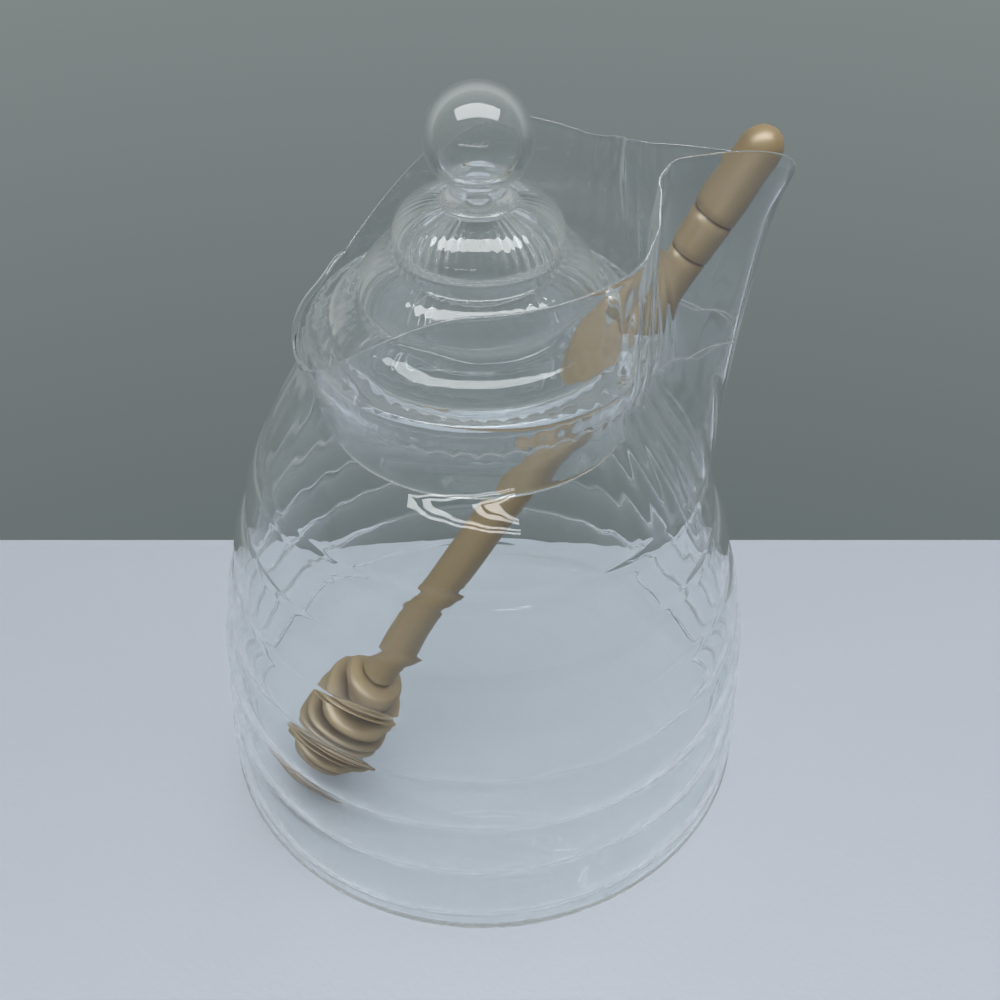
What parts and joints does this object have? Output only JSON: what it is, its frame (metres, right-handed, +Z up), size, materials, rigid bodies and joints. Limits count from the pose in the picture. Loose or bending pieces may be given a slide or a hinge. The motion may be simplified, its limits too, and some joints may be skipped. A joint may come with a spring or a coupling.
{
  "type": "honey jar with dipper",
  "caption": "Empty clear glass beehive honey jar with horizontal ribs, a pulled pouring spout, a stepped glass lid with a ball knob, and a turned wooden dipper.",
  "frame": {"origin": "on the jar's axis, at its flat underside", "axes": "+Z up along the jar's axis, +X toward the pouring spout (the spout's middle is 5.5 degrees toward +Y), -Y toward the picture's viewer"},
  "size_m": [0.099, 0.0992, 0.1399],
  "materials": {
    "clear_glass": "polished",
    "clear_lid_glass": "polished",
    "pale_beech": "satin"
  },
  "bodies": {
    "root": {"jar": "clear_glass", "lid": "clear_lid_glass", "dipper": "pale_beech"}
  },
  "joints": []
}
